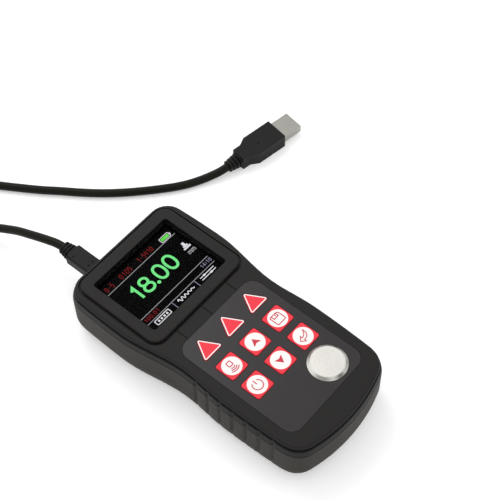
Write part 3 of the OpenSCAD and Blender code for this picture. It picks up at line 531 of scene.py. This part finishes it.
# Ink stands this far out of the film, and its lower side is sunk as far into it
INK = 0.02
# White disc on each square key, width of the signs' lines on it, and outline of the arrowheads
DISC_PRINT_R = 5.0
SIGN_LINE = 0.52
ENTER_LINE = 0.468
ARROWHEAD = np.array([(0, 2.2), (-2.45, -1.8), (0, -0.95), (2.45, -1.8)])


def key_place(key):
    """Middle of a key's top, in mm."""
    low, high = (np.array(c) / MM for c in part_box(key))
    return (low[0] + high[0]) / 2, (low[1] + high[1]) / 2, high[2]


def up_sign(low, high):
    """Swallow-tailed arrowhead that points to the screen."""
    return [prism(ARROWHEAD, low, high)]


def down_sign(low, high):
    """The same arrowhead turned half round."""
    return [prism(-ARROWHEAD, low, high)]


def save_sign(low, high):
    """A memory disk: a rounded square line with one corner cut, a shutter line and a slot in it."""
    half, cut, corner_r = 2.75, 0.85, 0.55
    corners = [(-half, -half), (half, -half), (half, half - cut), (half - cut, half), (-half, half)]
    shutter = [(-1.55, 2.65), (-1.55, 0.8), (1.4, 0.8), (1.4, 2.65)]
    slot = [(0.35, 2.4), (0.35, 1.4)]
    return [band(rounded(corners, corner_r), SIGN_LINE, low, high, closed=True),
            band(shutter, SIGN_LINE, low, high), band(slot, SIGN_LINE, low, high)]


def enter_sign(low, high):
    """Outline of an arrow that comes down from a point at the right and bends to the left."""
    tail = (2.5, 2.6)
    outer = curve((-1.1, -1.7), (3.0, -1.9), tail)
    inner = curve(tail, (1.4, -0.2), (-1.1, -0.3))[1:]
    path = np.concatenate([[(-3.1, -1.05), (-1.1, -2.8)], outer, inner, [(-1.1, 0.8)]])
    return [band(path, ENTER_LINE, low, high, closed=True)]


def power_sign(low, high):
    """A ring line open at the top, with an upright stroke in the opening."""
    ring_r, half_opening = 2.7, 35
    ring = arc((0, -0.2), (ring_r, ring_r), 90 + half_opening, 450 - half_opening, 40)
    stroke = [(0, 0.2), (0, 3.0)]
    return [band(ring, SIGN_LINE, low, high), band(stroke, SIGN_LINE, low, high)]


def probe_sign(low, high):
    """A probe's block as a rounded line, above three waves as arcs about one middle."""
    half_spread, corner_r = 42, 0.4
    waves = [arc((0, 0.7), (r, r), 270 - half_spread, 270 + half_spread, 20) for r in (1.9, 2.9, 3.9)]
    block = rounded(box_outline(-1.25, 0.2, 1.25, 2.8), corner_r)
    return ([band(wave, SIGN_LINE, low, high) for wave in waves]
            + [band(block, SIGN_LINE, low, high, closed=True)])


SIGNS = {"up_key": up_sign, "down_key": down_sign, "save_key": save_sign, "enter_key": enter_sign,
         "power_key": power_sign, "probe_key": probe_sign}
for key, sign in SIGNS.items():
    x, y, top = key_place(key)
    white = prism(loop((x, y), (DISC_PRINT_R, DISC_PRINT_R), 72), top - INK, top + INK)
    piece(key + "_disc", [white], print_white, key)
    marks = [moved(shape, x, y) for shape in sign(top + INK / 2, top + 2 * INK)]
    piece(key + "_sign", marks, print_dark, key)

# White lines round the triangular keys: key size over its rounded corners, the flange under the film, then
# the line's width and its middle from the key's edge
TRIANGLE_W, TRIANGLE_L, TRIANGLE_R = 11.3, 10.25, 0.9
FLANGE = 0.8
LINE_W = 0.55
LINE_IN = 0.42


def triangle_line(x, point_y, low, high):
    """Band along a rounded triangle that points to the screen, set in from the key's edge: three arcs whose
    ends lie where the sides touch them."""
    foot = TRIANGLE_W / 2 - TRIANGLE_R
    lean = np.degrees(np.arctan2(foot, TRIANGLE_L - 2 * TRIANGLE_R))
    r = TRIANGLE_R - LINE_IN
    low_y = point_y + TRIANGLE_R - TRIANGLE_L
    path = np.concatenate([
        arc((x + foot, low_y), (r, r), -90, lean, 8),
        arc((x, point_y - TRIANGLE_R), (r, r), lean, 180 - lean, 8),
        arc((x - foot, low_y), (r, r), 180 - lean, 270, 8)])
    return band(path, LINE_W, low, high, closed=True)


for key in TRIANGLE_KEYS:
    x, _, top = key_place(key)
    point_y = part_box(key)[1][1] / MM - FLANGE
    piece(key + "_line", [triangle_line(x, point_y, top - INK, top + INK)], print_white, key)


# Picture on the screen: thin lit shapes on the panel, in mm from its middle line and along the case

# The shapes start this far inside the panel and end this far above it
PICTURE_SINK, PICTURE_RISE = 0.02, 0.03
panel_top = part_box("display_panel")[1][2] / MM
LOW, HIGH = panel_top - PICTURE_SINK, panel_top + PICTURE_RISE


def lit(outline):
    """A lit area: the outline as a thin plate on the panel."""
    return prism(outline, LOW, HIGH)


def lit_line(path, width, closed=False):
    """A lit line: a thin band along the path on the panel."""
    return band(path, width, LOW, HIGH, closed)


def digit_strokes(sign, x, y, w, h):
    """Paths of one sign in a box of width w and height h about its middle, with True for a closed path.
    Round signs are ellipses and squarer loops, and the others are straight strokes and arcs."""
    def at(points):
        """Points given in shares of the box."""
        return np.array(points, float) * (w, h) + (x, y)

    def round_part(cx, cy, rx, ry, first, last, count=24):
        """An arc whose middle and half sizes are given in shares of the box."""
        return arc((x + cx * w, y + cy * h), (rx * w, ry * h), first, last, count)

    strokes = {
        "0": [(loop((x, y), (w / 2, h / 2), 48, 2.3), True)],
        "8": [(loop((x, y + 0.255 * h), (0.42 * w, 0.245 * h), 40, 2.15), True),
              (loop((x, y - 0.24 * h), (0.5 * w, 0.26 * h), 40, 2.15), True)],
        "1": [(at([(-0.3, 0.27), (0.18, 0.46), (0.18, -0.5)]), False)],
        "4": [(at([(0.22, -0.5), (0.22, 0.5), (-0.5, -0.17), (0.5, -0.17)]), False)],
        "5": [(np.concatenate([at([(0.42, 0.5), (-0.34, 0.5), (-0.42, 0.08)]),
                               round_part(-0.02, -0.18, 0.48, 0.32, 128, -140)]), False)],
        "9": [(loop((x, y + 0.19 * h), (0.46 * w, 0.31 * h), 36), True),
              (round_part(0, 0.02, 0.46, 0.5, 20, -60, 12), False)],
        "-": [(at([(-0.32, -0.03), (0.32, -0.03)]), False)],
    }
    return strokes[sign]


def dots(sign, x, y, h, size):
    """The round dots of a point or colon, at their shares of the height h about its middle."""
    heights = {".": [-0.44], ":": [-0.22, 0.2]}[sign]
    return [lit(loop((x, y + k * h), (size, size), 20)) for k in heights]


# Shares of a sign's pitch that a point or colon takes and that a sign fills, and a dot's radius in lines
POINT_SHARE = 0.45
SIGN_SHARE = 0.78
DOT_SHARE = 0.7


def number(text, x0, x1, edges, line):
    """A row of signs that fills the box from x0 to x1 between its lower and upper edge: the signs follow
    each other at an even pitch, and points and colons take a share of it."""
    share = np.array([POINT_SHARE if c in ".:" else 1.0 for c in text])
    pitch = (x1 - x0) / share.sum()
    middle = x0 + pitch * (np.cumsum(share) - share / 2)
    y0, y1 = edges
    shapes, h, y = [], y1 - y0 - line, (y0 + y1) / 2
    for sign, x in zip(text, middle):
        if sign in ".:":
            shapes += dots(sign, x, y, h, DOT_SHARE * line)
        else:
            paths = digit_strokes(sign, x, y, SIGN_SHARE * pitch - line, h)
            shapes += [lit_line(path, line, closed) for path, closed in paths]
    return shapes


# Main reading: the row's lower and upper edge and line, each sign's middle and full width, and the point
READING_LOW, READING_HIGH, READING_LINE = 42.25, 52.25, 1.42
READING = [("1", -14.3, 5.2), ("8", -7.4, 7.0), ("0", 2.45, 6.8), ("0", 9.95, 6.8)]
POINT_X, POINT_R = -2.35, 1.0
reading_y = (READING_LOW + READING_HIGH) / 2
reading_h = READING_HIGH - READING_LOW - READING_LINE
reading = [lit_line(path, READING_LINE, closed)
           for sign, x, w in READING
           for path, closed in digit_strokes(sign, x, reading_y, w - READING_LINE, reading_h)]
reading += dots(".", POINT_X, reading_y, reading_h, POINT_R)

# Ruled lines across the picture, and the ticks between the three fields under the lowest line
ACTIVE_X = 24.4
RULES = (57.2, 35.4, 30.9)
RULE_W = 0.34
TICKS = (-7.5, 8.9)
TICK_LOW, TICK_HIGH = 25.9, 30.6
TICK_W = 0.4
rules = [lit(box_outline(-ACTIVE_X, y - RULE_W / 2, ACTIVE_X, y + RULE_W / 2)) for y in RULES]
ticks = [lit(box_outline(x - TICK_W / 2, TICK_LOW, x + TICK_W / 2, TICK_HIGH)) for x in TICKS]

# Fields over the triangular keys: one pictogram each, between the ends given
FIELD_ENDS = ((-21.0, -11.3), (-4.8, 6.6), (11.9, 21.9))
FIELD_LOW, FIELD_HIGH = 27.1, 29.8
FIELD_LINE = 0.5
# Printed strip: corner radius, rows of print, their distance from the edges, and a bar's ends in pitches
SHEET_R = 0.5
SHEET_ROWS = 4
SHEET_MARGIN = 0.8
BAR_ENDS = (0.75, 1.3)
# Echoes: how many waves, and how much of the height they lose
ECHO_WAVES = 5
ECHO_LOSS = 0.75
# Slide lines: distance from the edges, each knob's share of the way, its half sizes and its rise
SLIDE_IN = 0.6
SLIDE_SHARES = (0.3, 0.68)
KNOB = (0.9, 0.6)
KNOB_RISE = 0.01


def sheet_field(x0, x1):
    """A printed strip: a long frame with rows of print as plain bars."""
    frame_line = rounded(box_outline(x0, FIELD_LOW, x1, FIELD_HIGH), SHEET_R)
    step = (x1 - x0) / (SHEET_ROWS + 1)
    low, high = FIELD_LOW + SHEET_MARGIN, FIELD_HIGH - SHEET_MARGIN
    ends = [[x0 + step * (i + end) for end in BAR_ENDS] for i in range(SHEET_ROWS)]
    bars = [lit(box_outline(first, low, last, high)) for first, last in ends]
    return [lit_line(frame_line, FIELD_LINE, closed=True)] + bars


def echo_field(x0, x1):
    """A sound pulse and its echoes: a sine line whose height falls evenly to the right."""
    t = np.linspace(0, 1, 96)
    height = (FIELD_HIGH - FIELD_LOW - FIELD_LINE) / 2
    y = (FIELD_LOW + FIELD_HIGH) / 2 + height * np.sin(2 * np.pi * ECHO_WAVES * t) * (1 - ECHO_LOSS * t)
    return [lit_line(np.column_stack([x0 + (x1 - x0) * t, y]), FIELD_LINE)]


def slider_field(x0, x1):
    """Settings: two slide lines with a knob on each."""
    shapes = []
    for y, share in zip((FIELD_HIGH - SLIDE_IN, FIELD_LOW + SLIDE_IN), SLIDE_SHARES):
        knob = loop((x0 + share * (x1 - x0), y), KNOB, 24)
        shapes += [lit_line([(x0, y), (x1, y)], FIELD_LINE), prism(knob, LOW, HIGH + KNOB_RISE)]
    return shapes


FIELDS = (sheet_field, echo_field, slider_field)
fields = [shape for field, ends in zip(FIELDS, FIELD_ENDS) for shape in field(*ends)]

# Unit sign: lower left corner, a letter's width and height, the way from letter to letter, and the line
UNIT_X, UNIT_Y = 19.9, 42.5
LETTER_W, LETTER_H = 1.9, 1.9
LETTER_PITCH = 2.5
UNIT_LINE = 0.42


def unit_letters():
    """The unit sign mm: for each letter two bows side by side, each a half circle on two posts."""
    step = LETTER_W / 2
    r = step / 2
    lefts = [UNIT_X + letter * LETTER_PITCH + bow * step for letter in range(2) for bow in range(2)]
    bows = [arc((left + r, UNIT_Y + LETTER_H - r), (r, r), 180, 0, 10) for left in lefts]
    paths = [[(left, UNIT_Y), *bow, (left + step, UNIT_Y)] for left, bow in zip(lefts, bows)]
    return [lit_line(path, UNIT_LINE) for path in paths]


# Probe sign: its middle and foot, then half width, lower and upper edge of its foot, collar and grip
PROBE_X, PROBE_LOW = 22.1, 46.1
PROBE_FOOT, PROBE_COLLAR, PROBE_GRIP = (2.3, 0, 1.1), (1.5, 1.3, 2.4), (0.8, 2.35, 4.4)
PROBE_GRIP_R = 0.5


def probe_part(half, low, high):
    """Outline of one step of the probe, about its middle line."""
    return box_outline(PROBE_X - half, PROBE_LOW + low, PROBE_X + half, PROBE_LOW + high)


probe_grip = rounded(probe_part(*PROBE_GRIP), PROBE_GRIP_R)
probe_icon = [lit(probe_part(*PROBE_FOOT)), lit(probe_part(*PROBE_COLLAR)), lit(probe_grip)]

# Battery sign: its line's box, width and corner radius, how far the charge is set in from it, then the
# terminal's ends from the box's right-hand edge and how far it is set in
BATTERY = (16.1, 57.75, 22.3, 60.6)
BATTERY_LINE, BATTERY_R = 0.35, 0.5
CHARGE_IN = 0.55
TERMINAL_ENDS, TERMINAL_IN = (0.2, 0.75), 0.8


def battery_charge(x0, y0, x1, y1):
    """The charge: a box set in evenly from the battery's line."""
    return [lit(box_outline(x0 + CHARGE_IN, y0 + CHARGE_IN, x1 - CHARGE_IN, y1 - CHARGE_IN))]


def battery_line(x0, y0, x1, y1):
    """The battery's rounded line, with the terminal as a box at its right-hand end."""
    first, last = TERMINAL_ENDS
    terminal = box_outline(x1 + first, y0 + TERMINAL_IN, x1 + last, y1 - TERMINAL_IN)
    outline = rounded(box_outline(x0, y0, x1, y1), BATTERY_R)
    return [lit_line(outline, BATTERY_LINE, closed=True), lit(terminal)]


# Small numbers: lower and upper edge of their two rows, then each one's text, ends and row
TOP_ROW, LOW_ROW = (58.35, 61.45), (32.1, 34.4)
SMALL_LINE = 0.32
RED_NUMBERS = (("0-5", -23.4, -17.6, TOP_ROW), ("0105", -13.2, -4.8, TOP_ROW),
               ("1-5910", -0.3, 10.7, TOP_ROW), ("100.01", -24.2, -13.9, LOW_ROW))
CLOCK = ("14:10", 17.0, 24.6, LOW_ROW)
red_numbers = [shape for entry in RED_NUMBERS for shape in number(*entry, SMALL_LINE)]


def screen_piece(name, shapes, material):
    """A piece of the picture, fixed to the case."""
    return piece(name, shapes, material, "case")


glow_white = glow("glow_white", SCREEN_WHITE)
screen_piece("screen_reading", reading, glow("glow_green", SCREEN_GREEN))
screen_piece("screen_rules", rules, glow("glow_line", SCREEN_LINE))
screen_piece("screen_ticks", ticks, glow("glow_tick", SCREEN_GREY))
screen_piece("screen_fields", fields, glow_white)
screen_piece("screen_probe", probe_icon, glow_white)
screen_piece("screen_unit", unit_letters(), glow("glow_unit", SCREEN_LINE))
screen_piece("screen_battery_charge", battery_charge(*BATTERY), glow("glow_charge", CHARGE_GREEN))
screen_piece("screen_battery_line", battery_line(*BATTERY), glow_white)
screen_piece("screen_red_numbers", red_numbers, glow("glow_red", SCREEN_RED))
screen_piece("screen_clock", number(*CLOCK, SMALL_LINE), glow("glow_clock", SCREEN_GREY))


# Data cable: one line through the run from the gauge, the coil and the run to the far plug, in mm

CORD_D = 4.6
CORD_START = (-14.8, 97.5, 21.55)
# The whole cable in metres
GAUGE_RUN = [CORD_START, (-15.3, 102, 21.5), (-16.5, 107.5, 20.9), (-17.6, 113, 19.7), (-18.7, 119, 18),
             (-19.8, 126, 15.6), (-21.3, 133, 12.7), (-23.6, 140, 9.9), (-28.5, 146.5, 7.4),
             (-37, 151.5, 5), (-47.5, 155.4, 3)]
PLUG_RUN = [(-14.2, 189.5, 5.4), (-9, 180, 3.2), (-3.5, 171, 2.3), (0.8, 163.5, 2.3), (6.2, 154.7, 2.3),
            (12.4, 145, 2.3), (18.8, 136, 2.3), (25.2, 126.7, 2.3), (32, 117.8, 2.3), (39.2, 109.7, 2.3),
            (47, 102, 2.3), (55, 94.8, 2.3), (63, 88.4, 2.3), (70.3, 84, 2.3), (77.3, 80.4, 2.9),
            (82.5, 77.9, 3.8), (87.6, 76.41, 4.4)]
# Coil: middle, radii, first and last angle in degrees, whole turns, and rise to the second layer
COIL_CENTRE = (-42, 184)
COIL_OUTER, COIL_INNER = 27.7, 17.0
COIL_FIRST, COIL_LAST, COIL_TURNS = 236.6, 34, 4
COIL_STEP = 4.7
# The rise starts at this share of the coil and takes this share of it
RISE_START, RISE_SHARE = 0.46, 0.08
POINTS_A_TURN = 16
# Steps of the cable's round section and of each stretch between two points
SECTION_STEPS = 6
STRETCH_STEPS = 8


def coil_points():
    """A flat spiral from the outer radius to the inner one on the table, then back out on top of it: the
    radius falls and rises evenly with the angle, and the height steps up smoothly at the middle."""
    sweep = 360 * COIL_TURNS + COIL_FIRST - COIL_LAST
    t = np.linspace(0, 1, int(POINTS_A_TURN * sweep / 360))
    a = np.radians(COIL_FIRST - sweep * t)
    r = COIL_OUTER - (COIL_OUTER - COIL_INNER) * (1 - np.abs(2 * t - 1))
    rise = np.clip((t - RISE_START) / RISE_SHARE, 0, 1)
    z = CORD_D / 2 + COIL_STEP * rise ** 2 * (3 - 2 * rise)
    return np.column_stack([COIL_CENTRE[0] + r * np.cos(a), COIL_CENTRE[1] + r * np.sin(a), z])


def lay_cable(material):
    """The cable as a round tube along one smooth curve through all the points of its route."""
    line = bpy.data.curves.new("data_cable", "CURVE")
    line.dimensions = "3D"
    line.bevel_depth = CORD_D / 2 * MM
    line.bevel_resolution = SECTION_STEPS
    line.resolution_u = STRETCH_STEPS
    line.use_fill_caps = True
    route = np.concatenate([GAUGE_RUN, coil_points(), PLUG_RUN]) * MM
    spline = line.splines.new("BEZIER")
    spline.bezier_points.add(len(route) - 1)
    spline.bezier_points.foreach_set("co", route.ravel())
    for point in spline.bezier_points:
        point.handle_left_type = point.handle_right_type = "AUTO"
    line.materials.append(material)
    obj = bpy.data.objects.new("data_cable", line)
    bpy.context.scene.collection.objects.link(obj)
    return obj


cable_jacket = finish("cable_jacket", CABLE_BLACK, roughness=0.32, grain=0.3, depth=0.006,
                      Specular_IOR_Level=0.1)
cable = lay_cable(cable_jacket)
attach(cable, "case")
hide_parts("cable_gauge_run", "cable_coil", "cable_plug_run")


# Table, light and camera

def seen_ray(tree, unseen, seen):
    """A value that is seen for camera, mirrored and transmitted rays and unseen for the others."""
    path = add(tree, "ShaderNodeLightPath")
    both = arithmetic(tree, "MAXIMUM", path.outputs["Is Camera Ray"], path.outputs["Is Glossy Ray"])
    any_ray = arithmetic(tree, "MAXIMUM", both, path.outputs["Is Transmission Ray"])
    return arithmetic(tree, "MULTIPLY_ADD", any_ray, seen - unseen, unseen)


def placed(right, up, back, place):
    """Matrix of a lamp or camera from its three axes and its place in metres."""
    m = np.eye(4)
    m[:3, :3] = np.array([right, up, back]).T
    m[:3, 3] = place
    return Matrix(m.tolist())


def white_table():
    """A pale square floor that keeps the shadows, lifted a little towards white where it is seen."""
    mesh = bpy.data.meshes.new("table_top")
    corners = box_outline(-TABLE_REACH, -TABLE_REACH, TABLE_REACH, TABLE_REACH)
    mesh.from_pydata([(x, y, 0) for x, y in corners], [], [(0, 1, 2, 3)])
    material = bpy.data.materials.new("table_white")
    material.use_nodes = True
    tree = material.node_tree
    bsdf = tree.nodes["Principled BSDF"]
    bsdf.inputs["Base Color"].default_value = TABLE_GREY
    bsdf.inputs["Roughness"].default_value = 0.7
    bsdf.inputs["Specular IOR Level"].default_value = 0.1
    bsdf.inputs["Emission Color"].default_value = WHITE
    tree.links.new(seen_ray(tree, 0.0, TABLE_LIFT), bsdf.inputs["Emission Strength"])
    mesh.materials.append(material)
    floor = bpy.data.objects.new("table_top", mesh)
    bpy.context.scene.collection.objects.link(floor)


def studio_light():
    """Even white light from all round, and a soft round lamp that faces the frame's origin: its back axis
    is the direction of its place, and its right axis is level."""
    world = bpy.data.worlds.new("studio")
    world.use_nodes = True
    tree = world.node_tree
    background = tree.nodes["Background"]
    background.inputs["Color"].default_value = WHITE
    tree.links.new(seen_ray(tree, SKY_LEVEL, SKY_SEEN), background.inputs["Strength"])
    bpy.context.scene.world = world
    lamp = bpy.data.lights.new("soft_lamp", "AREA")
    lamp.shape = "DISK"
    lamp.size = LAMP_SIZE
    lamp.energy = LAMP_POWER
    obj = bpy.data.objects.new("soft_lamp", lamp)
    place = np.array(LAMP_PLACE)
    back = place / np.linalg.norm(place)
    right = np.cross((0, 0, 1), back)
    right /= np.linalg.norm(right)
    obj.matrix_world = placed(right, np.cross(back, right), back, place)
    bpy.context.scene.collection.objects.link(obj)


def photo_camera():
    """The camera at the photograph's viewpoint."""
    camera = bpy.data.cameras.new("photo_camera")
    camera.lens = CAMERA_LENS
    camera.sensor_width = CAMERA_SENSOR
    camera.clip_start = CAMERA_NEAR
    obj = bpy.data.objects.new("photo_camera", camera)
    obj.matrix_world = placed(*CAMERA_AXES, np.array(CAMERA_PLACE) * MM)
    bpy.context.scene.collection.objects.link(obj)
    bpy.context.scene.camera = obj


white_table()
studio_light()
photo_camera()
bpy.context.scene.view_settings.view_transform = "Standard"
